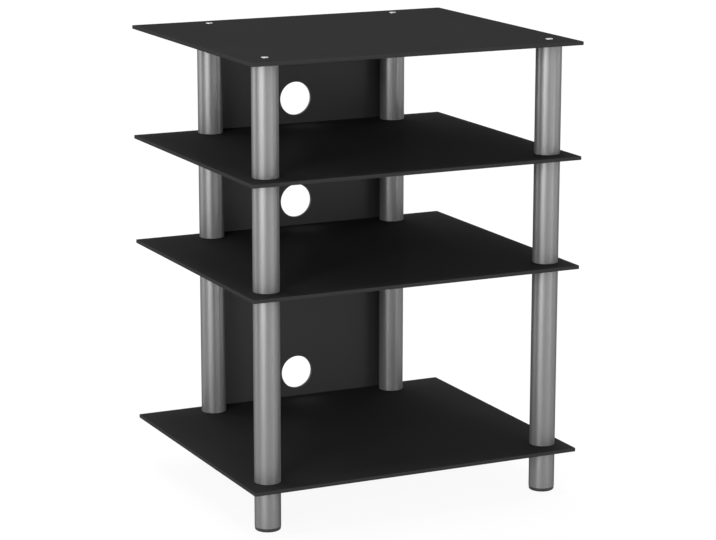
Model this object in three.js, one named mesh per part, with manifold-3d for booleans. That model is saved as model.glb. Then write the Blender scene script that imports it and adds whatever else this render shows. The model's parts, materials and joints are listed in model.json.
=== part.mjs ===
// An audio equipment rack: four black glass shelves on four stacks of satin silver tubes.
// Each bay is closed at the back by a black panel with one round cable hole.
// Millimetres, +Z up, front towards -Y. The origin is on the floor below the middle of the shelves.
import * as THREE from "three";
import { mergeVertices } from "three/addons/utils/BufferGeometryUtils.js";
import Module from "manifold-3d";

const wasm = await Module();
wasm.setup();

// Glass shelves
const shelfWidth = 600;
const shelfDepth = 522;
const glassThickness = 6;
const glassCornerRadius = 2;
const glassArris = 0.5;
const glassHoleClearance = 1;

// Free heights between the shelves, and the tube that lifts the bottom shelf
const upperBayHeight = 187;
const middleBayHeight = 181;
const lowerBayHeight = 315;
const footTubeLength = 70;

// Posts, each an aluminium tube with a threaded plug pressed into either end
const postDiameter = 44;
const postWall = 1.5;
const postEndChamfer = 0.6;
const plugThickness = 12;

// Post axes, from the edges of the glass: the rear pair stands closer together than the front pair
const frontPostSideInset = 41;
const frontPostInset = 52;
const rearPostSideInset = 121.5;
const rearPostInset = 33.5;

// In the photograph both pairs stand a little to the right of the middle of the glass
const frontPairShift = 4;
const rearPairShift = 10;

// Threaded studs that pass through the lower three shelves from tube to tube
const studDiameter = 6;
const studEngagement = 11;
const studChamfer = 0.8;
const threadClearance = 0.3;

// Cap screws on the top shelf
const capHeadDiameter = 12;
const capHeadHeight = 0.8;
const capHeadRounding = 0.5;
const capSocketAcrossFlats = 4;
const capSocketDepth = 1.2;

// Levelling feet: a moulded pad on a stud that screws into the foot tube
const padThickness = 6;
const padInset = 0.4;
const padTopChamfer = 0.6;
const padSoleRounding = 2.4;
const footStudLength = 26;

// Back panels
const panelThickness = 6;
const panelTopClearance = 0.5;
const panelEdgeMargin = 10;
const panelArris = 0.4;
const panelCornerRadius = 1.5;
const cableHoleDiameter = 60;
const cableHoleHeight = 45;
const cableHoleShift = -1.4;

// Countersunk screws and saddle spacers that hold the panels on the rear posts
const spacerLength = 5;
const spacerDiameter = 11;
const saddleGap = 0.3;
const screwDiameter = 4;
const screwHeadDiameter = 8;
const screwHeadHeight = 2.4;
const screwHeadRim = 0.4;
const screwHeadSink = 0.2;
const screwTipLength = 1.5;
const screwReachPastWall = 4;
const screwClearance = 0.3;
const panelScrewHeightShares = { upper: [0.5], middle: [0.5], lower: [0.2, 0.8] };

// Counts of sides and steps for round forms
const postSides = 28;
const studSides = 8;
const capSides = 20;
const padSides = 28;
const roundingSteps = 2;
const cornerSteps = 2;
const glassHoleSteps = 4;
const cableHoleSteps = 18;
const screwSides = 8;
const spacerSides = 12;
const hexSides = 6;

// One overrun serves all cuts, and the weld joins the vertices that two faces share
const overrun = 1;
const weldDistance = 0.001;

// Sizes that follow from the ones above
const postRadius = postDiameter / 2;
const studRadius = studDiameter / 2;
const threadRadius = studRadius + threadClearance;
const screwRadius = screwDiameter / 2;
const drilledRadius = screwRadius + screwClearance;
const bottomShelfBase = padThickness + footTubeLength;
const bottomShelfTop = bottomShelfBase + glassThickness;
const middleShelfBase = bottomShelfTop + lowerBayHeight;
const middleShelfTop = middleShelfBase + glassThickness;
const upperShelfBase = middleShelfTop + middleBayHeight;
const upperShelfTop = upperShelfBase + glassThickness;
const topShelfBase = upperShelfTop + upperBayHeight;
const topShelfTop = topShelfBase + glassThickness;
const frontPostReach = shelfWidth / 2 - frontPostSideInset;
const rearPostReach = shelfWidth / 2 - rearPostSideInset;
const frontPostY = frontPostInset - shelfDepth / 2;
const rearPostY = shelfDepth / 2 - rearPostInset;
const panelFrontY = rearPostY + postRadius + spacerLength;
const panelBackY = panelFrontY + panelThickness;

const corners = [
  { name: "front_left", x: frontPairShift - frontPostReach, y: frontPostY },
  { name: "front_right", x: frontPairShift + frontPostReach, y: frontPostY },
  { name: "rear_left", x: rearPairShift - rearPostReach, y: rearPostY },
  { name: "rear_right", x: rearPairShift + rearPostReach, y: rearPostY },
];
const shelves = [
  { name: "bottom", base: bottomShelfBase },
  { name: "middle", base: middleShelfBase },
  { name: "upper", base: upperShelfBase },
  { name: "top", base: topShelfBase },
];
const bays = [
  { name: "lower", base: bottomShelfTop, height: lowerBayHeight },
  { name: "middle", base: middleShelfTop, height: middleBayHeight },
  { name: "upper", base: upperShelfTop, height: upperBayHeight },
];

const finishes = {
  blackGlass: { color: 0x08090a, roughness: 0.06, metalness: 0 },
  satinSilver: { color: 0xa9abad, roughness: 0.35, metalness: 0.9 },
  brightSteel: { color: 0xd8dadc, roughness: 0.18, metalness: 1 },
  zincSteel: { color: 0x9a9da1, roughness: 0.4, metalness: 1 },
  blackLaminate: { color: 0x17181a, roughness: 0.55, metalness: 0 },
  blackPlastic: { color: 0x141415, roughness: 0.6, metalness: 0 },
};

const rack = new THREE.Group();

// Adds one named piece with a material of its own
function addPiece(name, geometry, finish, x, y, z) {
  const mesh = new THREE.Mesh(geometry, new THREE.MeshStandardMaterial(finish));
  mesh.name = name;
  mesh.position.set(x, y, z);
  rack.add(mesh);
}

// Turns a closed geometry into a solid that can be cut
function solidFrom(geometry) {
  const bare = geometry.clone();
  bare.deleteAttribute("normal");
  bare.deleteAttribute("uv");
  const welded = mergeVertices(bare, weldDistance);
  const vertProperties = welded.getAttribute("position").array;
  const triVerts = new Uint32Array(welded.index.array);
  return new wasm.Manifold(new wasm.Mesh({ numProp: 3, vertProperties, triVerts }));
}

// Turns a cut solid back into a geometry with flat faces
function geometryFrom(solid) {
  const { vertProperties, triVerts } = solid.getMesh();
  const shared = new THREE.BufferGeometry();
  shared.setAttribute("position", new THREE.BufferAttribute(vertProperties, 3));
  shared.setIndex(new THREE.BufferAttribute(triVerts, 1));
  const geometry = shared.toNonIndexed();
  geometry.computeVertexNormals();
  return geometry;
}

function cutAway(geometry, cutters) {
  const cut = cutters.reduce((solid, cutter) => solid.subtract(solidFrom(cutter)), solidFrom(geometry));
  return geometryFrom(cut);
}

// Revolves a profile of [radius, height] points about the Z axis
function revolve(profile, sides) {
  const points = profile.map(([radius, height]) => new THREE.Vector2(radius, height));
  return new THREE.LatheGeometry(points, sides).rotateX(Math.PI / 2);
}

// Points of a rounded edge, a quarter circle from startAngle about [radius, height]
function quarterArc(radius, height, rounding, startAngle) {
  return Array.from({ length: roundingSteps + 1 }, (_, step) => {
    const angle = startAngle + (Math.PI / 2) * (step / roundingSteps);
    return [radius + rounding * Math.cos(angle), height + rounding * Math.sin(angle)];
  });
}

// A flat sheet standing from z = 0 to its thickness, with its edges and holes arrised
function arrisedSheet(shape, thickness, arris, curveSegments) {
  return new THREE.ExtrudeGeometry(shape, {
    depth: thickness - 2 * arris,
    bevelEnabled: true,
    bevelThickness: arris,
    bevelSize: arris,
    bevelOffset: -arris,
    bevelSegments: 1,
    curveSegments,
  }).translate(0, 0, arris);
}

// A rectangle with rounded corners between two opposite corner points
function roundedRectangle(left, bottom, right, top, radius) {
  const outline = [
    [right - radius, bottom + radius, -Math.PI / 2],
    [right - radius, top - radius, 0],
    [left + radius, top - radius, Math.PI / 2],
    [left + radius, bottom + radius, Math.PI],
  ].flatMap(([x, y, start]) =>
    Array.from({ length: cornerSteps + 1 }, (_, step) => {
      const angle = start + (Math.PI / 2) * (step / cornerSteps);
      return new THREE.Vector2(x + radius * Math.cos(angle), y + radius * Math.sin(angle));
    }),
  );
  return new THREE.Shape(outline);
}

function roundHole(x, y, radius) {
  return new THREE.Path().absarc(x, y, radius, 0, 2 * Math.PI, true);
}

// Shelf: arrised glass with one drilled hole over each post axis
function shelfGeometry() {
  const shape = roundedRectangle(
    -shelfWidth / 2,
    -shelfDepth / 2,
    shelfWidth / 2,
    shelfDepth / 2,
    glassCornerRadius,
  );
  corners.forEach(({ x, y }) => shape.holes.push(roundHole(x, y, studRadius + glassHoleClearance)));
  return arrisedSheet(shape, glassThickness, glassArris, glassHoleSteps);
}

// A rod along Z from its base upwards, its flat sides outside the given radius
function rodAround(radius, base, length, sides) {
  const outerRadius = radius / Math.cos(Math.PI / sides);
  return new THREE.CylinderGeometry(outerRadius, outerRadius, length, sides)
    .rotateX(Math.PI / 2)
    .translate(0, 0, base + length / 2);
}

// Tube: chamfered ends, a plug with a threaded bore in either end, hollow between the plugs
function tubeGeometry(length, wallDrills) {
  const profile = [
    [0, 0],
    [postRadius - postEndChamfer, 0],
    [postRadius, postEndChamfer],
    [postRadius, length - postEndChamfer],
    [postRadius - postEndChamfer, length],
    [0, length],
  ];
  const hollow = rodAround(postRadius - postWall, plugThickness, length - 2 * plugThickness, postSides);
  const bore = rodAround(threadRadius, -overrun, length + 2 * overrun, studSides);
  return cutAway(revolve(profile, postSides), [hollow, bore, ...wallDrills]);
}

// The hole that a panel screw passes in the back wall of a rear tube
function wallDrill(height) {
  return rodAround(drilledRadius, 0, postRadius + overrun, screwSides)
    .rotateX(-Math.PI / 2)
    .translate(0, 0, height);
}

function postGeometry(bay, corner) {
  const isRear = corner.y === rearPostY;
  return tubeGeometry(bay.height, isRear ? panelScrewHeights(bay).map(wallDrill) : []);
}

// Stud: a short threaded rod with chamfered ends, from its lower end upwards
function studGeometry() {
  const length = glassThickness + 2 * studEngagement;
  const profile = [
    [0, 0],
    [studRadius - studChamfer, 0],
    [studRadius, studChamfer],
    [studRadius, length - studChamfer],
    [studRadius - studChamfer, length],
    [0, length],
  ];
  return revolve(profile, studSides);
}

// Cap screw: a low round head on the glass with a hexagon socket, its shank below z = 0
function capScrewGeometry() {
  const headRadius = capHeadDiameter / 2;
  const shankEnd = -(glassThickness + studEngagement);
  const profile = [
    [0, shankEnd],
    [studRadius - studChamfer, shankEnd],
    [studRadius, shankEnd + studChamfer],
    [studRadius, 0],
    [headRadius, 0],
    ...quarterArc(headRadius - capHeadRounding, capHeadHeight - capHeadRounding, capHeadRounding, 0),
    [0, capHeadHeight],
  ];
  const socketBase = capHeadHeight - capSocketDepth;
  const socket = rodAround(capSocketAcrossFlats / 2, socketBase, capSocketDepth + overrun, hexSides);
  return cutAway(revolve(profile, capSides), [socket]);
}

// Levelling foot: a pad with a flat sole and a rounded lower edge, on its stud
function levellingFootGeometry() {
  const padRadius = postRadius - padInset;
  const studTop = padThickness + footStudLength;
  const profile = [
    [0, 0],
    ...quarterArc(padRadius - padSoleRounding, padSoleRounding, padSoleRounding, -Math.PI / 2),
    [padRadius, padThickness - padTopChamfer],
    [padRadius - padTopChamfer, padThickness],
    [studRadius, padThickness],
    [studRadius, studTop - studChamfer],
    [studRadius - studChamfer, studTop],
    [0, studTop],
  ];
  return revolve(profile, padSides);
}

function panelScrewHeights(bay) {
  const panelHeight = bay.height - panelTopClearance;
  return panelScrewHeightShares[bay.name].map((share) => share * panelHeight);
}

// Back panel: an arrised board in the XZ plane with its lower edge at z = 0 and its back at y = 0
function panelGeometry(bay) {
  const halfWidth = rearPostReach + panelEdgeMargin;
  const panelHeight = bay.height - panelTopClearance;
  const shape = roundedRectangle(-halfWidth, 0, halfWidth, panelHeight, panelCornerRadius);
  shape.holes.push(roundHole(cableHoleShift, cableHoleHeight, cableHoleDiameter / 2));
  const board = arrisedSheet(shape, panelThickness, panelArris, cableHoleSteps).rotateX(Math.PI / 2);
  const cutters = panelScrewHeights(bay).flatMap((height) =>
    [-rearPostReach, rearPostReach].map((x) => panelScrewCutter(x, height)),
  );
  return cutAway(board, cutters);
}

// The countersunk bore of one panel screw, clear of the screw and open past either face
function panelScrewCutter(x, height) {
  const headRadius = screwHeadDiameter / 2 + screwClearance;
  const profile = [
    [0, -panelThickness - overrun],
    [drilledRadius, -panelThickness - overrun],
    [drilledRadius, -screwHeadSink - screwHeadHeight],
    [headRadius, -screwHeadSink - screwHeadRim],
    [headRadius, overrun],
    [0, overrun],
  ];
  return revolve(profile, screwSides).rotateX(-Math.PI / 2).translate(x, 0, height);
}

// Panel screw along Y: the flat face of its countersunk head at y = 0, its tip towards the front
function panelScrewGeometry() {
  const length = panelThickness + spacerLength + postWall + screwReachPastWall;
  const headRadius = screwHeadDiameter / 2;
  const profile = [
    [0, -length],
    [screwRadius, screwTipLength - length],
    [screwRadius, -screwHeadHeight],
    [headRadius, -screwHeadRim],
    [headRadius, 0],
    [0, 0],
  ];
  return revolve(profile, screwSides).rotateX(-Math.PI / 2);
}

// Spacer: a ring between post and panel, its front end hollowed to sit round the post.
// It lies along Y with its flat end, which the panel rests on, at y = 0
function spacerGeometry() {
  const outer = spacerDiameter / 2;
  const ringLength = spacerLength + outer;
  const profile = [
    [drilledRadius, -ringLength],
    [outer, -ringLength],
    [outer, 0],
    [drilledRadius, 0],
    [drilledRadius, -ringLength],
  ];
  const ring = revolve(profile, spacerSides).rotateX(-Math.PI / 2);
  const saddleLength = spacerDiameter + 2 * overrun;
  const saddle = rodAround(postRadius + saddleGap, -saddleLength / 2, saddleLength, postSides);
  saddle.translate(0, -spacerLength - postRadius, 0);
  return cutAway(ring, [saddle]);
}

shelves.forEach((shelf) => {
  addPiece(`shelf_${shelf.name}`, shelfGeometry(), finishes.blackGlass, 0, 0, shelf.base);
});

corners.forEach((corner) => {
  const { name, x, y } = corner;
  addPiece(`levelling_foot_${name}`, levellingFootGeometry(), finishes.blackPlastic, x, y, 0);
  addPiece(`foot_tube_${name}`, tubeGeometry(footTubeLength, []), finishes.satinSilver, x, y, padThickness);
  bays.forEach((bay) => {
    addPiece(`${bay.name}_post_${name}`, postGeometry(bay, corner), finishes.satinSilver, x, y, bay.base);
  });
  shelves.slice(0, -1).forEach((shelf) => {
    const studBase = shelf.base - studEngagement;
    addPiece(`stud_${shelf.name}_shelf_${name}`, studGeometry(), finishes.zincSteel, x, y, studBase);
  });
  addPiece(`cap_screw_${name}`, capScrewGeometry(), finishes.brightSteel, x, y, topShelfTop);
});

bays.forEach((bay) => {
  const panelName = `back_panel_${bay.name}`;
  addPiece(panelName, panelGeometry(bay), finishes.blackLaminate, rearPairShift, panelBackY, bay.base);
  corners.slice(2).forEach((corner) => {
    const side = corner.name.replace("rear_", "");
    panelScrewHeights(bay).forEach((height, row) => {
      const label = `${bay.name}_${side}_${row + 1}`;
      const z = bay.base + height;
      addPiece(`panel_spacer_${label}`, spacerGeometry(), finishes.blackPlastic, corner.x, panelFrontY, z);
      const headY = panelBackY - screwHeadSink;
      addPiece(`panel_screw_${label}`, panelScrewGeometry(), finishes.zincSteel, corner.x, headY, z);
    });
  });
});

export default rack;
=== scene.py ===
"""Looks of an audio equipment rack: black glass shelves on satin silver posts, on levelling feet."""

import json
import math

import bmesh
import bpy
from mathutils import Matrix, Vector

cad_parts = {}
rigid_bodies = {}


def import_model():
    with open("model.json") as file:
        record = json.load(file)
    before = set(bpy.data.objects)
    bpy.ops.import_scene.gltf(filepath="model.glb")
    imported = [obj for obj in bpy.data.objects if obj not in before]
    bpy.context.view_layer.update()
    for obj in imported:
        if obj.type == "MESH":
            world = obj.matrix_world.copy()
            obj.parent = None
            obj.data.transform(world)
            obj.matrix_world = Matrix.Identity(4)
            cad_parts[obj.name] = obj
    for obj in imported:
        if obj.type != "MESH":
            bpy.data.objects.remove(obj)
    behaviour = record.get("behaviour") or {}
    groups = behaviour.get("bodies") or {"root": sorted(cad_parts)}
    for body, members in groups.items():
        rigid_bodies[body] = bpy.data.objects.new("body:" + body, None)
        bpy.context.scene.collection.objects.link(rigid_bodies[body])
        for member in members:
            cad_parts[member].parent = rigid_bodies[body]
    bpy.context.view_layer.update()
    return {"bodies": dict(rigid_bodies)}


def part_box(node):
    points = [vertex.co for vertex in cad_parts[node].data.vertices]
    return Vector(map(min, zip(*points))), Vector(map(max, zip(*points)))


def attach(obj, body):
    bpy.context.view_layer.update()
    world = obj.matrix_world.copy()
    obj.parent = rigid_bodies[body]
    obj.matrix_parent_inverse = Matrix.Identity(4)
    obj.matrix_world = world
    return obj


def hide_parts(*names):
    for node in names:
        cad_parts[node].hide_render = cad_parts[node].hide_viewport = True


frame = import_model()

# Image size in pixels
IMAGE_WIDTH = 716
IMAGE_HEIGHT = 540

# Camera, fitted to the edges of the four shelves in the photograph
CAMERA_AZIMUTH = -25.4686
CAMERA_ELEVATION = 13.1351
CAMERA_PLACE = (-1.8944304, -3.9477009, 1.3522876)
FOCAL_PIXELS = 2590.7713
PRINCIPAL_POINT = (345.1734, 292.956)
SENSOR_WIDTH = 36.0
CLIP_START = 0.1
CLIP_END = 100.0

# One millimetre
MM = 0.001

# Where the axis of the rack meets the floor, and where a screw is made before it is turned and placed
ORIGIN = (0.0, 0.0, 0.0)

# Sides of round forms
TUBE_SIDES = 96
SMALL_SIDES = 48
THREAD_SIDES = 20
THREAD_ROWS_PER_TURN = 8
HEX_SIDES = 6
ROUNDING_STEPS = 5
SHARP_ANGLE = math.radians(35)

# Noise of the materials: its detail, its stretch along x, y and z, and where most of its values lie
NOISE_DETAIL = 4.0
LINES_DETAIL = 3.0
NOISE_ROUGHNESS = 0.6
EVEN = (1, 1, 1)
UPRIGHT_LINES = (1, 1, 0.001)
LEVEL_GRAIN = (1, 1, 4)
NOISE_LOW = 0.3
NOISE_HIGH = 0.7

# Glass shelves
GLASS_CORNER_RADIUS = 2 * MM
GLASS_ARRIS = 0.5 * MM
GLASS_HOLE_RADIUS = 4 * MM

# Posts
POST_WALL = 1.5 * MM
POST_END_ROUNDING = 0.6 * MM
PLUG_THICKNESS = 12 * MM
PLUG_BORE_RADIUS = 3.3 * MM
PLUG_BORE_CHAMFER = 0.5 * MM
PLUG_SEAM = 0.12 * MM

# Threads of the studs and screws
STUD_RADIUS = 3 * MM
STUD_PITCH = 1 * MM
STUD_THREAD_DEPTH = 0.6 * MM
STUD_END_TAPER = 0.8 * MM
WOOD_SCREW_RADIUS = 2 * MM
WOOD_SCREW_PITCH = 1.4 * MM
WOOD_SCREW_THREAD_DEPTH = 0.45 * MM
WOOD_SCREW_TIP = 1.5 * MM
WOOD_SCREW_BLUNTNESS = 0.05
SCREW_HOLE_RADIUS = 2.3 * MM

# Cap screws on the top shelf
CAP_HEAD_HEIGHT = 0.8 * MM
CAP_HEAD_ROUNDING = 0.5 * MM
CAP_SOCKET_ACROSS_FLATS = 4 * MM
CAP_SOCKET_DEPTH = 1.2 * MM

# Levelling feet
PAD_THICKNESS = 6 * MM
PAD_TOP_ROUNDING = 0.6 * MM
PAD_SOLE_ROUNDING = 2.4 * MM

# Back panels, their cable holes and their countersunk screws
PANEL_CORNER_RADIUS = 1.5 * MM
PANEL_ARRIS = 0.4 * MM
CABLE_HOLE_RADIUS = 30 * MM
CABLE_HOLE_HEIGHT = 45 * MM
CABLE_HOLE_SHIFT = -1.4 * MM
SCREW_HEAD_RADIUS = 4 * MM
SCREW_HEAD_HEIGHT = 2.4 * MM
SCREW_HEAD_RIM = 0.4 * MM
SCREW_HEAD_SINK = 0.2 * MM
SCREW_CLEARANCE = 0.3 * MM
CROSS_LENGTH = 4.4 * MM
CROSS_WIDTH = 0.9 * MM
CROSS_DEPTH = 1.6 * MM
SPACER_SADDLE_GAP = 0.3 * MM

CORNERS = ("front_left", "front_right", "rear_left", "rear_right")
BAYS = ("lower", "middle", "upper")
SHELVES = ("bottom", "middle", "upper", "top")
PANEL_SCREWS = {
    "lower": ("lower_left_1", "lower_left_2", "lower_right_1", "lower_right_2"),
    "middle": ("middle_left_1", "middle_right_1"),
    "upper": ("upper_left_1", "upper_right_1"),
}


# Nodes of a material

def new_material(name):
    """A new material, with its node tree and its shader."""
    material = bpy.data.materials.new(name)
    material.use_nodes = True
    return material, material.node_tree, material.node_tree.nodes["Principled BSDF"]


def set_inputs(node, values):
    """Sets inputs of a node that have no link, by their names."""
    for socket, value in values.items():
        node.inputs[socket].default_value = value


def grey(level, blue=1.0):
    """A grey, made colder where blue is more than one."""
    return (level, level, level * blue)


def object_noise(tree, scale, stretch=EVEN, detail=NOISE_DETAIL):
    """Noise in the piece's own coordinates, stretched along each axis."""
    coordinates = tree.nodes.new("ShaderNodeTexCoord")
    mapping = tree.nodes.new("ShaderNodeMapping")
    noise = tree.nodes.new("ShaderNodeTexNoise")
    mapping.inputs["Scale"].default_value = stretch
    set_inputs(noise, {"Scale": scale, "Detail": detail, "Roughness": NOISE_ROUGHNESS})
    tree.links.new(coordinates.outputs["Object"], mapping.inputs["Vector"])
    tree.links.new(mapping.outputs["Vector"], noise.inputs["Vector"])
    return noise.outputs["Fac"]


def add_colour(tree, shader, noise, dark, light):
    """Base colour that goes from dark to light with the noise."""
    ramp = tree.nodes.new("ShaderNodeValToRGB")
    stops = zip(ramp.color_ramp.elements, (NOISE_LOW, NOISE_HIGH), (dark, light))
    for stop, position, colour in stops:
        stop.position = position
        stop.color = (*colour, 1.0)
    tree.links.new(noise, ramp.inputs["Fac"])
    tree.links.new(ramp.outputs["Color"], shader.inputs["Base Color"])


def add_roughness(tree, shader, noise, low, high):
    """Roughness that goes from low to high with the noise."""
    span = tree.nodes.new("ShaderNodeMapRange")
    set_inputs(span, {"From Min": NOISE_LOW, "From Max": NOISE_HIGH, "To Min": low, "To Max": high})
    tree.links.new(noise, span.inputs["Value"])
    tree.links.new(span.outputs["Result"], shader.inputs["Roughness"])


def add_bump(tree, shader, noise, distance):
    """Relief that is as high as the distance where the noise is one."""
    bump = tree.nodes.new("ShaderNodeBump")
    set_inputs(bump, {"Distance": distance, "Strength": 1.0})
    tree.links.new(noise, bump.inputs["Height"])
    tree.links.new(bump.outputs["Normal"], shader.inputs["Normal"])


# Materials

def black_glass():
    """Faces of the shelves: black, with a very weak clear gloss."""
    material, tree, shader = new_material("black_glass")
    clouds = object_noise(tree, scale=7.0)
    add_colour(tree, shader, clouds, dark=grey(0.034), light=grey(0.036))
    add_roughness(tree, shader, clouds, low=0.35, high=0.45)
    set_inputs(shader, {"Specular IOR Level": 0.0, "Coat Weight": 0.005, "Coat Roughness": 0.18})
    return material


def ground_glass_edge():
    """Edges of the shelves and their holes: finely ground, lighter and without gloss."""
    material, tree, shader = new_material("ground_glass_edge")
    grain = object_noise(tree, scale=900.0, stretch=LEVEL_GRAIN)
    add_colour(tree, shader, grain, dark=grey(0.056), light=grey(0.072))
    add_roughness(tree, shader, grain, low=0.4, high=0.5)
    add_bump(tree, shader, grain, distance=0.03 * MM)
    set_inputs(shader, {"Specular IOR Level": 0.0})
    return material


def satin_aluminium():
    """Tubes: fine lines along their length, and a gloss that is drawn out round them."""
    material, tree, shader = new_material("satin_aluminium")
    lines = object_noise(tree, scale=900.0, stretch=UPRIGHT_LINES, detail=LINES_DETAIL)
    bands = object_noise(tree, scale=160.0, stretch=UPRIGHT_LINES, detail=LINES_DETAIL)
    add_colour(tree, shader, bands, dark=grey(0.262), light=grey(0.278))
    add_roughness(tree, shader, lines, low=0.30, high=0.40)
    add_bump(tree, shader, lines, distance=0.004 * MM)
    set_inputs(
        shader,
        {
            "Metallic": 0.35,
            "Specular IOR Level": 0.0,
            "Specular Tint": (*grey(0.2), 1.0),
            "Anisotropic": 0.8,
            "Anisotropic Rotation": 0.25,
        },
    )
    around = tree.nodes.new("ShaderNodeTangent")
    around.direction_type = "RADIAL"
    around.axis = "Z"
    tree.links.new(around.outputs["Tangent"], shader.inputs["Tangent"])
    return material


def bright_steel():
    """Cap screws: bright plating."""
    material, tree, shader = new_material("bright_steel")
    grain = object_noise(tree, scale=1200.0)
    add_colour(tree, shader, grain, dark=grey(0.50, 1.02), light=grey(0.56, 1.02))
    add_roughness(tree, shader, grain, low=0.28, high=0.38)
    set_inputs(shader, {"Metallic": 1.0})
    return material


def zinc_steel():
    """Studs and panel screws: duller and slightly bluish plating."""
    material, tree, shader = new_material("zinc_steel")
    grain = object_noise(tree, scale=500.0)
    add_colour(tree, shader, grain, dark=grey(0.29, 1.03), light=grey(0.38, 1.03))
    add_roughness(tree, shader, grain, low=0.3, high=0.42)
    set_inputs(shader, {"Metallic": 1.0})
    return material


def black_laminate():
    """Back panels: black laminate with a fine grain."""
    material, tree, shader = new_material("black_laminate")
    grain = object_noise(tree, scale=1500.0)
    clouds = object_noise(tree, scale=12.0)
    add_colour(tree, shader, clouds, dark=grey(0.036), light=grey(0.038))
    add_roughness(tree, shader, grain, low=0.45, high=0.58)
    add_bump(tree, shader, grain, distance=0.02 * MM)
    set_inputs(shader, {"Specular IOR Level": 0.2})
    return material


def black_plastic():
    """Foot pads and spacers: moulded plastic."""
    material, tree, shader = new_material("black_plastic")
    grain = object_noise(tree, scale=2200.0)
    add_colour(tree, shader, grain, dark=grey(0.014), light=grey(0.020))
    add_roughness(tree, shader, grain, low=0.45, high=0.6)
    add_bump(tree, shader, grain, distance=0.03 * MM)
    set_inputs(shader, {"Specular IOR Level": 0.4})
    return material


# Points of round and rounded forms

def circle(centre, radius, sides):
    """Points on a circle in a plane, as pairs."""
    angles = [2 * math.pi * side / sides for side in range(sides)]
    return [(centre[0] + radius * math.cos(a), centre[1] + radius * math.sin(a)) for a in angles]


def rounded_rectangle(low, high, radius, inset):
    """An outline with rounded corners, drawn in by the inset, as pairs."""
    centres = (
        (high[0] - radius, low[1] + radius, -math.pi / 2),
        (high[0] - radius, high[1] - radius, 0.0),
        (low[0] + radius, high[1] - radius, math.pi / 2),
        (low[0] + radius, low[1] + radius, math.pi),
    )
    points = []
    for x, y, start in centres:
        for step in range(ROUNDING_STEPS + 1):
            angle = start + math.pi / 2 * step / ROUNDING_STEPS
            reach = radius - inset
            points.append((x + reach * math.cos(angle), y + reach * math.sin(angle)))
    return points


def quarter_arc(radius, height, rounding, start):
    """Points of a rounded edge as [radius, height], a quarter circle from the start angle."""
    angles = [start + math.pi / 2 * step / ROUNDING_STEPS for step in range(ROUNDING_STEPS + 1)]
    return [(radius + rounding * math.cos(a), height + rounding * math.sin(a)) for a in angles]


# Meshes

def finish_piece(name, mesh, materials, node, body):
    """Makes the piece's object, which rides on its body and stands for the CAD node."""
    piece = bpy.data.objects.new(name, mesh)
    bpy.context.scene.collection.objects.link(piece)
    for material in materials:
        mesh.materials.append(material)
    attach(piece, body)
    if node:
        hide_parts(node)
    return piece


def bridge(tool, rows, closed=False):
    """Four-sided faces between rows of vertices, each row a closed ring."""
    following = rows[1:] + rows[:1] if closed else rows[1:]
    for lower, upper in zip(rows, following):
        count = len(lower)
        for i in range(count):
            j = (i + 1) % count
            tool.faces.new((lower[i], lower[j], upper[j], upper[i]))


def closed_stack(tool, rows):
    """A closed form over a stack of rings, with a flat face at either end."""
    bridge(tool, rows)
    tool.faces.new(reversed(rows[0]))
    tool.faces.new(rows[-1])


def mesh_from(name, tool):
    """Turns a bmesh into a mesh and frees it."""
    mesh = bpy.data.meshes.new(name)
    tool.to_mesh(mesh)
    tool.free()
    return mesh


def ring_edges(tool, row):
    """The edges between neighbouring vertices of a closed ring."""
    return [tool.edges.get((row[i - 1], row[i])) for i in range(len(row))]


def sheet_mesh(name, walls):
    """A flat sheet with walls, the first of them outermost, the others round its holes.

    Each wall is a stack of rings from one face of the sheet to the other. The faces take the first
    material and the walls the second.
    """
    tool = bmesh.new()
    stacks = []
    for rings in walls:
        rows = [[tool.verts.new(point) for point in ring] for ring in rings]
        bridge(tool, rows)
        stacks.append(rows)
    wall_faces = set(tool.faces)
    for end in (0, -1):
        edges = [edge for rows in stacks for edge in ring_edges(tool, rows[end])]
        bmesh.ops.triangle_fill(tool, use_beauty=True, use_dissolve=False, edges=edges)
    bmesh.ops.recalc_face_normals(tool, faces=tool.faces)
    for face in tool.faces:
        face.smooth = True
        face.material_index = 1 if face in wall_faces else 0
    for edge in tool.edges:
        kinds = {face in wall_faces for face in edge.link_faces}
        if len(kinds) == 2 or edge.calc_face_angle(0.0) > SHARP_ANGLE:
            edge.smooth = False
    return mesh_from(name, tool)


def shade(mesh):
    """Smooth shading between the sharp corners."""
    mesh.shade_smooth()
    mesh.set_sharp_from_angle(angle=SHARP_ANGLE)


def smooth_mesh(name, tool):
    """Turns a bmesh into a mesh with smooth faces and sharp corners."""
    bmesh.ops.recalc_face_normals(tool, faces=tool.faces)
    mesh = mesh_from(name, tool)
    shade(mesh)
    return mesh


def revolved(tool, profile, sides, place, closed=False):
    """Revolves [radius, height] points about an upright axis. Flat ends close an open profile."""
    rows = []
    for radius, height in profile:
        ring = circle((place[0], place[1]), radius, sides)
        rows.append([tool.verts.new((x, y, place[2] + height)) for x, y in ring])
    if closed:
        bridge(tool, rows, closed=True)
    else:
        closed_stack(tool, rows)


def thread_radius(height, angle, radius, depth, pitch):
    """Outer radius of a single-start thread at a height and an angle."""
    turn = (height / pitch - angle / (2 * math.pi)) % 1.0
    ridge = 1.0 - abs(2.0 * turn - 1.0)
    return radius - depth * (1.0 - ridge)


def threaded_rod(tool, radius, depth, pitch, low, high, end_radius, place):
    """A rod with a helical thread from low to high, no wider anywhere than end_radius(height)."""
    count = max(2, round((high - low) / pitch * THREAD_ROWS_PER_TURN))
    rows = []
    for row in range(count + 1):
        height = low + (high - low) * row / count
        points = []
        for side in range(THREAD_SIDES):
            angle = 2 * math.pi * side / THREAD_SIDES
            reach = min(thread_radius(height, angle, radius, depth, pitch), end_radius(height))
            points.append((reach * math.cos(angle), reach * math.sin(angle), height))
        rows.append([tool.verts.new(Vector(place) + Vector(point)) for point in points])
    closed_stack(tool, rows)


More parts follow.
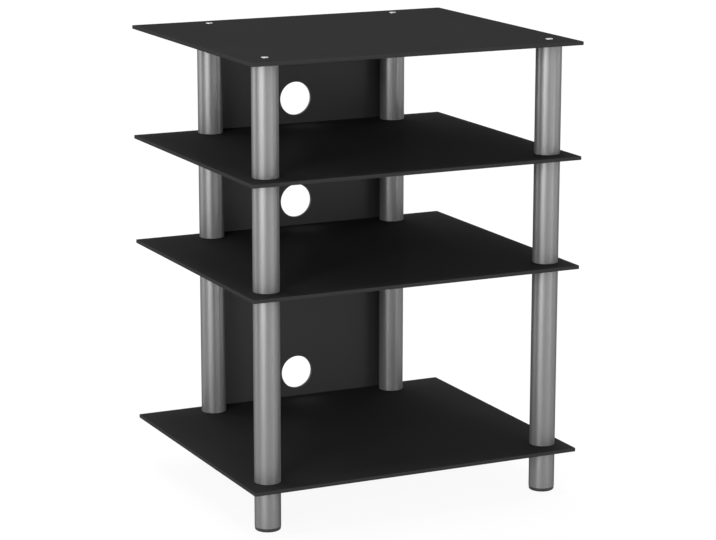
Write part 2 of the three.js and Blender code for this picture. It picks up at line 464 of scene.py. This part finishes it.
def cut(piece, cutters):
    """Cuts closed meshes out of a piece with exact booleans, and removes the cutters."""
    tools = []
    for cutter in cutters:
        tool = bpy.data.objects.new("cutter", cutter)
        bpy.context.scene.collection.objects.link(tool)
        modifier = piece.modifiers.new("cut", "BOOLEAN")
        modifier.operation = "DIFFERENCE"
        modifier.solver = "EXACT"
        modifier.object = tool
        tools.append(tool)
    graph = bpy.context.evaluated_depsgraph_get()
    made = bpy.data.meshes.new_from_object(piece.evaluated_get(graph))
    piece.modifiers.clear()
    piece.data = made
    shade(made)
    for tool in tools:
        bpy.data.objects.remove(tool)


def prism_mesh(outline, low, high):
    """A closed prism over an outline of pairs, for cutting."""
    tool = bmesh.new()
    rows = [[tool.verts.new((x, y, z)) for x, y in outline] for z in (low, high)]
    closed_stack(tool, rows)
    bmesh.ops.recalc_face_normals(tool, faces=tool.faces)
    return mesh_from("cutter", tool)


def axis_of(node):
    """The middle of a node in x and y, with its lowest and highest z."""
    low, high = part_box(node)
    return (low.x + high.x) / 2, (low.y + high.y) / 2, low.z, high.z


def middle_of(node):
    """The middle of a node's box."""
    low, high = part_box(node)
    return (low.x + high.x) / 2, (low.y + high.y) / 2, (low.z + high.z) / 2


def radius_of(node):
    """Half the width of a round node."""
    low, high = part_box(node)
    return (high.x - low.x) / 2


# Glass shelves

def arris_levels(low, high, arris):
    """Pairs of inset and level along an edge with both corners rounded off."""
    angles = [math.pi / 2 * step / ROUNDING_STEPS for step in range(ROUNDING_STEPS + 1)]
    lower = [(arris * (1 - math.sin(a)), low + arris * (1 - math.cos(a))) for a in angles]
    upper = [(inset, low + high - level) for inset, level in reversed(lower)]
    return lower + upper


def make_shelf(name, materials):
    """A glass shelf with a hole over each post axis. The materials are those of its faces and edges."""
    node = f"shelf_{name}"
    low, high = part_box(node)
    levels = arris_levels(low.z, high.z, GLASS_ARRIS)
    outer = [
        [(x, y, z) for x, y in rounded_rectangle(low, high, GLASS_CORNER_RADIUS, inset)]
        for inset, z in levels
    ]
    walls = [outer]
    for corner in CORNERS:
        x, y, _, _ = axis_of(f"lower_post_{corner}")
        walls.append(
            [
                [(u, v, z) for u, v in circle((x, y), GLASS_HOLE_RADIUS + inset, SMALL_SIDES)]
                for inset, z in levels
            ]
        )
    mesh = sheet_mesh(f"glass_{node}", walls)
    finish_piece(f"glass_{node}", mesh, materials, node, "rack")


# Posts: an aluminium tube with a plug pressed into either end, hollow between the plugs

def tube_profile(radius, length):
    """[radius, height] points of the closed section of a tube and its two plugs."""
    inner = radius - POST_WALL
    bottom_end = [
        (PLUG_BORE_RADIUS, PLUG_BORE_CHAMFER),
        (PLUG_BORE_RADIUS + PLUG_BORE_CHAMFER, 0.0),
        (inner - PLUG_SEAM, 0.0),
        (inner, PLUG_SEAM),
        (inner + PLUG_SEAM, 0.0),
        *quarter_arc(radius - POST_END_ROUNDING, POST_END_ROUNDING, POST_END_ROUNDING, -math.pi / 2),
    ]
    top_end = [(r, length - height) for r, height in reversed(bottom_end)]
    inside = [
        (PLUG_BORE_RADIUS, length - PLUG_THICKNESS),
        (inner, length - PLUG_THICKNESS),
        (inner, PLUG_THICKNESS),
        (PLUG_BORE_RADIUS, PLUG_THICKNESS),
    ]
    return bottom_end + top_end + inside


def drill_mesh(x, y, z, length):
    """A round drill along y for one panel screw."""
    mesh = prism_mesh(circle((0.0, 0.0), SCREW_HOLE_RADIUS, SMALL_SIDES), 0.0, length)
    mesh.transform(Matrix.Translation((x, y, z)) @ Matrix.Rotation(-math.pi / 2, 4, "X"))
    return mesh


def make_tube(node, name, material, screws=()):
    """A tube with its two plugs, drilled at the back for the panel screws that go into it."""
    x, y, low, high = axis_of(node)
    radius = radius_of(node)
    tool = bmesh.new()
    revolved(tool, tube_profile(radius, high - low), TUBE_SIDES, (x, y, low), closed=True)
    mesh = smooth_mesh(name, tool)
    piece = finish_piece(name, mesh, [material], node, "rack")
    if screws:
        heights = [middle_of(f"panel_screw_{screw}")[2] for screw in screws]
        cut(piece, [drill_mesh(x, y + radius / 2, height, radius) for height in heights])


# Studs and screws

def make_stud(node, name, body, material, low, high, replaces_node=True):
    """A threaded stud between two heights, on the axis of a CAD node."""
    x, y, _, _ = axis_of(node)
    core = STUD_RADIUS - STUD_END_TAPER

    # Both ends of a stud are chamfered
    def end_radius(height):
        return core + min(height - low, high - height)

    tool = bmesh.new()
    place = (x, y, 0.0)
    threaded_rod(tool, STUD_RADIUS, STUD_THREAD_DEPTH, STUD_PITCH, low, high, end_radius, place)
    mesh = smooth_mesh(name, tool)
    finish_piece(name, mesh, [material], node if replaces_node else None, body)


def make_cap_screw(corner, material):
    """A screw with a low round head, a hexagon socket and a threaded shank."""
    node = f"cap_screw_{corner}"
    head_name = f"cap_head_{corner}"
    shank_name = f"cap_shank_{corner}"
    x, y, low, high = axis_of(node)
    seat = high - CAP_HEAD_HEIGHT
    head_radius = radius_of(node)
    core = STUD_RADIUS - STUD_END_TAPER

    # Only the lower end of the shank is chamfered
    def end_radius(height):
        return core + height - low

    head = bmesh.new()
    flat_radius = head_radius - CAP_HEAD_ROUNDING
    rim_height = CAP_HEAD_HEIGHT - CAP_HEAD_ROUNDING
    profile = [
        (STUD_RADIUS, 0.0),
        (head_radius, 0.0),
        *quarter_arc(flat_radius, rim_height, CAP_HEAD_ROUNDING, 0.0),
    ]
    revolved(head, profile, SMALL_SIDES, (x, y, seat))
    mesh = smooth_mesh(head_name, head)
    piece = finish_piece(head_name, mesh, [material], node, "rack")
    socket = circle((x, y), CAP_SOCKET_ACROSS_FLATS / math.sqrt(3), HEX_SIDES)
    cut(piece, [prism_mesh(socket, high - CAP_SOCKET_DEPTH, high + CAP_SOCKET_DEPTH)])
    shank = bmesh.new()
    place = (x, y, 0.0)
    threaded_rod(shank, STUD_RADIUS, STUD_THREAD_DEPTH, STUD_PITCH, low, seat, end_radius, place)
    mesh = smooth_mesh(shank_name, shank)
    finish_piece(shank_name, mesh, [material], None, "rack")


def make_panel_screw(screw, material):
    """A countersunk screw with a cross recess, made upright and then turned to lie along y."""
    node = f"panel_screw_{screw}"
    low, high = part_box(node)
    x, _, z = middle_of(node)
    length = high.y - low.y
    turn = Matrix.Translation((x, high.y, z)) @ Matrix.Rotation(-math.pi / 2, 4, "X")

    # The tip is a blunt point
    def end_radius(height):
        share = WOOD_SCREW_BLUNTNESS + (height + length) / WOOD_SCREW_TIP
        return WOOD_SCREW_RADIUS * min(1.0, share)

    tool = bmesh.new()
    threaded_rod(
        tool,
        WOOD_SCREW_RADIUS,
        WOOD_SCREW_THREAD_DEPTH,
        WOOD_SCREW_PITCH,
        -length,
        -SCREW_HEAD_HEIGHT,
        end_radius,
        ORIGIN,
    )
    shank = smooth_mesh(f"screw_shank_{screw}", tool)
    shank.transform(turn)
    finish_piece(f"screw_shank_{screw}", shank, [material], None, "rack")
    tool = bmesh.new()
    profile = [
        (WOOD_SCREW_RADIUS, -SCREW_HEAD_HEIGHT),
        (SCREW_HEAD_RADIUS, -SCREW_HEAD_RIM),
        (SCREW_HEAD_RADIUS, 0.0),
    ]
    revolved(tool, profile, SMALL_SIDES, ORIGIN)
    head = smooth_mesh(f"screw_head_{screw}", tool)
    piece = finish_piece(f"screw_head_{screw}", head, [material], node, "rack")
    arm = CROSS_LENGTH / 2
    half = CROSS_WIDTH / 2
    cross = [
        (arm, -half), (arm, half), (half, half), (half, arm),
        (-half, arm), (-half, half), (-arm, half), (-arm, -half),
        (-half, -half), (-half, -arm), (half, -arm), (half, -half),
    ]
    cut(piece, [prism_mesh(cross, -CROSS_DEPTH, CROSS_DEPTH)])
    piece.data.transform(turn)


def make_spacer(screw, material):
    """A ring along y between post and panel, its front end hollowed to sit round the post."""
    node = f"panel_spacer_{screw}"
    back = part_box(node)[1].y
    x, _, z = middle_of(node)
    post = "lower_post_rear_left" if "left" in screw else "lower_post_rear_right"
    post_x, post_y, _, _ = axis_of(post)
    saddle = radius_of(post) + SPACER_SADDLE_GAP
    outer = radius_of(node)
    tool = bmesh.new()
    rows = []
    for radius, on_saddle in (
        (SCREW_HOLE_RADIUS, True),
        (outer, True),
        (outer, False),
        (SCREW_HOLE_RADIUS, False),
    ):
        row = []
        for u, v in circle((0.0, 0.0), radius, SMALL_SIDES):
            y = post_y + math.sqrt(saddle**2 - (x + u - post_x) ** 2) if on_saddle else back
            row.append(tool.verts.new((x + u, y, z + v)))
        rows.append(row)
    bridge(tool, rows, closed=True)
    mesh = smooth_mesh(f"spacer_{screw}", tool)
    finish_piece(f"spacer_{screw}", mesh, [material], node, "rack")


# Back panels

def make_panel(bay, material):
    """A back panel with its cable hole and its countersunk screw holes."""
    node = f"back_panel_{bay}"
    low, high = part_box(node)
    levels = arris_levels(low.y, high.y, PANEL_ARRIS)
    flat_low = (low.x, low.z)
    flat_high = (high.x, high.z)
    walls = [
        [
            [
                (x, y, z)
                for x, z in rounded_rectangle(flat_low, flat_high, PANEL_CORNER_RADIUS, inset)
            ]
            for inset, y in levels
        ]
    ]
    hole = (middle_of(node)[0] + CABLE_HOLE_SHIFT, low.z + CABLE_HOLE_HEIGHT)
    walls.append(
        [
            [(x, y, z) for x, z in circle(hole, CABLE_HOLE_RADIUS + inset, TUBE_SIDES)]
            for inset, y in levels
        ]
    )
    head_radius = SCREW_HEAD_RADIUS + SCREW_CLEARANCE
    bore = (
        (SCREW_HOLE_RADIUS, low.y),
        (SCREW_HOLE_RADIUS, high.y - SCREW_HEAD_SINK - SCREW_HEAD_HEIGHT),
        (head_radius, high.y - SCREW_HEAD_SINK - SCREW_HEAD_RIM),
        (head_radius, high.y),
    )
    for screw in PANEL_SCREWS[bay]:
        screw_x, _, screw_z = middle_of(f"panel_screw_{screw}")
        centre = (screw_x, screw_z)
        walls.append([[(x, y, z) for x, z in circle(centre, r, SMALL_SIDES)] for r, y in bore])
    mesh = sheet_mesh(f"board_{bay}", walls)
    finish_piece(f"board_{bay}", mesh, [material, material], node, "rack")


# Levelling feet

def make_foot(corner, plastic, steel):
    """A moulded pad on a threaded stud, which move together as one foot."""
    node = f"levelling_foot_{corner}"
    body = f"{corner}_foot"
    x, y, low, high = axis_of(node)
    radius = radius_of(node)
    sole_radius = radius - PAD_SOLE_ROUNDING
    top_radius = radius - PAD_TOP_ROUNDING
    shoulder = PAD_THICKNESS - PAD_TOP_ROUNDING
    tool = bmesh.new()
    profile = [
        *quarter_arc(sole_radius, PAD_SOLE_ROUNDING, PAD_SOLE_ROUNDING, -math.pi / 2),
        *quarter_arc(top_radius, shoulder, PAD_TOP_ROUNDING, 0.0),
    ]
    revolved(tool, profile, TUBE_SIDES, (x, y, low))
    mesh = smooth_mesh(f"foot_pad_{corner}", tool)
    finish_piece(f"foot_pad_{corner}", mesh, [plastic], node, body)
    stud_name = f"foot_stud_{corner}"
    make_stud(node, stud_name, body, steel, low + PAD_THICKNESS, high, replaces_node=False)


# The rack

glass = black_glass()
glass_edge = ground_glass_edge()
aluminium = satin_aluminium()
bright = bright_steel()
zinc = zinc_steel()
laminate = black_laminate()
plastic = black_plastic()

for shelf in SHELVES:
    make_shelf(shelf, [glass, glass_edge])
for corner in CORNERS:
    make_tube(f"foot_tube_{corner}", f"tube_foot_{corner}", aluminium)
    for bay in BAYS:
        side = corner.removeprefix("rear_")
        screws = [screw for screw in PANEL_SCREWS[bay] if f"_{side}_" in screw]
        make_tube(f"{bay}_post_{corner}", f"tube_{bay}_{corner}", aluminium, screws)
    for shelf in SHELVES[:-1]:
        stud = f"stud_{shelf}_shelf_{corner}"
        stud_low, stud_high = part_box(stud)
        make_stud(stud, f"threaded_{stud}", "rack", zinc, stud_low.z, stud_high.z)
    make_cap_screw(corner, bright)
    make_foot(corner, plastic, zinc)
for bay in BAYS:
    make_panel(bay, laminate)
    for screw in PANEL_SCREWS[bay]:
        make_panel_screw(screw, zinc)
        make_spacer(screw, plastic)

# Floor: its colour is for the light that it throws back on the rack, and the rays that see it get its
# own glow and a small share of the light that falls on it, so that a faint shadow shows
FLOOR_RADIUS = 18.0
FLOOR_COLOUR = 0.5
FLOOR_SHADOW_SHARE = 0.10
FLOOR_GLOW = 0.93


def seen_ray(tree):
    """One for rays that come from the camera, from a gloss or through glass."""
    path = tree.nodes.new("ShaderNodeLightPath")
    total = path.outputs["Is Camera Ray"]
    for ray in ("Is Glossy Ray", "Is Transmission Ray"):
        add = tree.nodes.new("ShaderNodeMath")
        add.operation = "MAXIMUM"
        tree.links.new(total, add.inputs[0])
        tree.links.new(path.outputs[ray], add.inputs[1])
        total = add.outputs["Value"]
    return total


def floor_material():
    """Plain pale floor that is white to the eye and still takes the object's shadow."""
    material = bpy.data.materials.new("floor")
    material.use_nodes = True
    tree = material.node_tree
    tree.nodes.clear()
    output = tree.nodes.new("ShaderNodeOutputMaterial")
    plain = tree.nodes.new("ShaderNodeBsdfDiffuse")
    shaded = tree.nodes.new("ShaderNodeBsdfDiffuse")
    glow = tree.nodes.new("ShaderNodeEmission")
    both = tree.nodes.new("ShaderNodeAddShader")
    mix = tree.nodes.new("ShaderNodeMixShader")
    plain.inputs["Color"].default_value = (*grey(FLOOR_COLOUR), 1.0)
    shaded.inputs["Color"].default_value = (*grey(FLOOR_SHADOW_SHARE), 1.0)
    glow.inputs["Strength"].default_value = FLOOR_GLOW
    tree.links.new(shaded.outputs["BSDF"], both.inputs[0])
    tree.links.new(glow.outputs["Emission"], both.inputs[1])
    tree.links.new(seen_ray(tree), mix.inputs["Fac"])
    tree.links.new(plain.outputs["BSDF"], mix.inputs[1])
    tree.links.new(both.outputs["Shader"], mix.inputs[2])
    tree.links.new(mix.outputs["Shader"], output.inputs["Surface"])
    return material


floor_tool = bmesh.new()
floor_outline = circle((0.0, 0.0), FLOOR_RADIUS, TUBE_SIDES)
floor_tool.faces.new([floor_tool.verts.new((x, y, 0.0)) for x, y in floor_outline])
floor_mesh = mesh_from("floor", floor_tool)
floor_mesh.materials.append(floor_material())
floor = bpy.data.objects.new("floor", floor_mesh)
bpy.context.scene.collection.objects.link(floor)

# Where a foot is screwed out, the rack stands higher, so the floor lies under the lowest foot
for body, foot in sorted(frame["bodies"].items()):
    if body.endswith("_foot"):
        under = floor.constraints.new("FLOOR")
        under.target = foot
        under.floor_location = "FLOOR_NEGATIVE_Z"

# Light

# Level of the world where it lights the surfaces, and where it is seen or shows in gloss
WORLD_FILL = 0.2
WORLD_WHITE = 1.0

# Strips that show in gloss only, side by side on a ring round the rack. The bands are the heights of
# the low, middle and high part. A strip is given by its angle from the front towards the left, in
# degrees, with the levels of its three parts
STRIP_DISTANCE = 3.0
STRIP_STEP = 15
STRIP_BANDS = ((0.02, 0.45), (0.45, 1.20), (1.20, 2.40))
STRIPS = (
    (-135, (0.0, 4.0, 0.0)),
    (-120, (1.5, 6.0, 0.5)),
    (-105, (0.0, 3.0, 0.0)),
    (-90, (0.0, 0.5, 0.0)),
    (-75, (0.0, 2.7, 0.0)),
    (-60, (0.0, 3.3, 0.0)),
    (-45, (1.8, 0.9, 0.0)),
    (-30, (7.9, 0.3, 0.5)),
    (-15, (5.5, 0.4, 0.0)),
    (0, (0.5, 4.0, 0.0)),
    (15, (0.0, 2.5, 0.0)),
    (30, (0.0, 6.6, 0.0)),
    (45, (4.7, 9.9, 1.5)),
    (60, (5.5, 10.2, 3.3)),
    (75, (0.3, 6.2, 0.0)),
    (105, (0.0, 2.8, 0.0)),
    (120, (1.1, 6.5, 0.0)),
    (135, (1.2, 3.5, 0.0)),
    (150, (0.0, 3.0, 0.0)),
)

# Soft suns that light the surfaces only: angle as above, elevation and width in degrees, and level
SUNS = (
    (0, 90, 22, 0.28),
    (-135, 40, 28, 0.10),
    (135, 40, 28, 0.13),
    (180, 40, 28, 0.23),
    (-110, 15, 26, 0.17),
    (50, 15, 26, 0.33),
    (-30, 15, 26, 0.08),
)

# Softboxes that light the surfaces only: angle as above, distance and height in metres, and level
SOFTBOX_SIZE = 0.9
SOFTBOX_AIM = (0.0, 0.0, 0.4)
SOFTBOXES = (
    (-30, 2.6, 0.5, 0.40),
    (10, 2.6, 0.5, 0.30),
    (50, 1.8, 2.1, 0.35),
    (130, 1.8, 2.1, 0.60),
    (180, 2.4, 0.9, 2.00),
)


def on_ring(angle, distance, height):
    """A place round the rack at an angle from the front towards the left."""
    turn = math.radians(angle)
    return (-math.sin(turn) * distance, -math.cos(turn) * distance, height)


def place_lamp(name, light, place, aim):
    """Adds a light that points from its place at the aim and isn't seen by the camera."""
    lamp = bpy.data.objects.new(name, light)
    lamp.location = place
    lamp.rotation_euler = (Vector(aim) - Vector(place)).to_track_quat("-Z", "Y").to_euler()
    lamp.visible_camera = False
    bpy.context.scene.collection.objects.link(lamp)
    return lamp


def softbox(name, place, width, height, level, aim):
    """Adds a rectangular lamp. Its level is its brightness, so its energy grows with its area."""
    light = bpy.data.lights.new(name, "AREA")
    light.shape = "RECTANGLE"
    light.size = width
    light.size_y = height
    light.energy = level * math.pi * width * height
    return place_lamp(name, light, place, aim)


strip_width = STRIP_DISTANCE * math.radians(STRIP_STEP)
for angle, levels in STRIPS:
    for (low, high), level in zip(STRIP_BANDS, levels):
        if level > 0:
            height = (low + high) / 2
            place = on_ring(angle, STRIP_DISTANCE, height)
            aim = (0.0, 0.0, height)
            strip = softbox("strip", place, strip_width, high - low, level, aim)
            strip.visible_diffuse = False
for angle, distance, height, level in SOFTBOXES:
    place = on_ring(angle, distance, height)
    box = softbox("softbox", place, SOFTBOX_SIZE, SOFTBOX_SIZE, level, SOFTBOX_AIM)
    box.visible_glossy = False
for angle, elevation, spread, level in SUNS:
    light = bpy.data.lights.new("soft_sun", "SUN")
    light.angle = math.radians(spread)
    light.energy = level * math.pi
    lift = math.radians(elevation)
    place = on_ring(angle, math.cos(lift), math.sin(lift))
    sun = place_lamp("soft_sun", light, place, ORIGIN)
    sun.visible_glossy = False

world = bpy.data.worlds.new("studio")
bpy.context.scene.world = world
world.use_nodes = True
world_tree = world.node_tree
background = world_tree.nodes["Background"]
background.inputs["Color"].default_value = (1.0, 1.0, 1.0, 1.0)
world_level = world_tree.nodes.new("ShaderNodeMapRange")
set_inputs(world_level, {"To Min": WORLD_FILL, "To Max": WORLD_WHITE})
world_tree.links.new(seen_ray(world_tree), world_level.inputs["Value"])
world_tree.links.new(world_level.outputs["Result"], background.inputs["Strength"])

# Camera

camera_data = bpy.data.cameras.new("camera")
camera_data.sensor_width = SENSOR_WIDTH
camera_data.lens = FOCAL_PIXELS * SENSOR_WIDTH / IMAGE_WIDTH
camera_data.shift_x = (IMAGE_WIDTH / 2 - PRINCIPAL_POINT[0]) / IMAGE_WIDTH
camera_data.shift_y = (PRINCIPAL_POINT[1] - IMAGE_HEIGHT / 2) / IMAGE_WIDTH
camera_data.clip_start = CLIP_START
camera_data.clip_end = CLIP_END
camera = bpy.data.objects.new("camera", camera_data)
azimuth = math.radians(CAMERA_AZIMUTH)
elevation = math.radians(CAMERA_ELEVATION)
back = Vector(
    (
        math.sin(azimuth) * math.cos(elevation),
        -math.cos(azimuth) * math.cos(elevation),
        math.sin(elevation),
    )
)
camera.location = CAMERA_PLACE
camera.rotation_euler = (-back).to_track_quat("-Z", "Y").to_euler()
bpy.context.scene.collection.objects.link(camera)
bpy.context.scene.camera = camera
bpy.context.scene.view_settings.view_transform = "Standard"
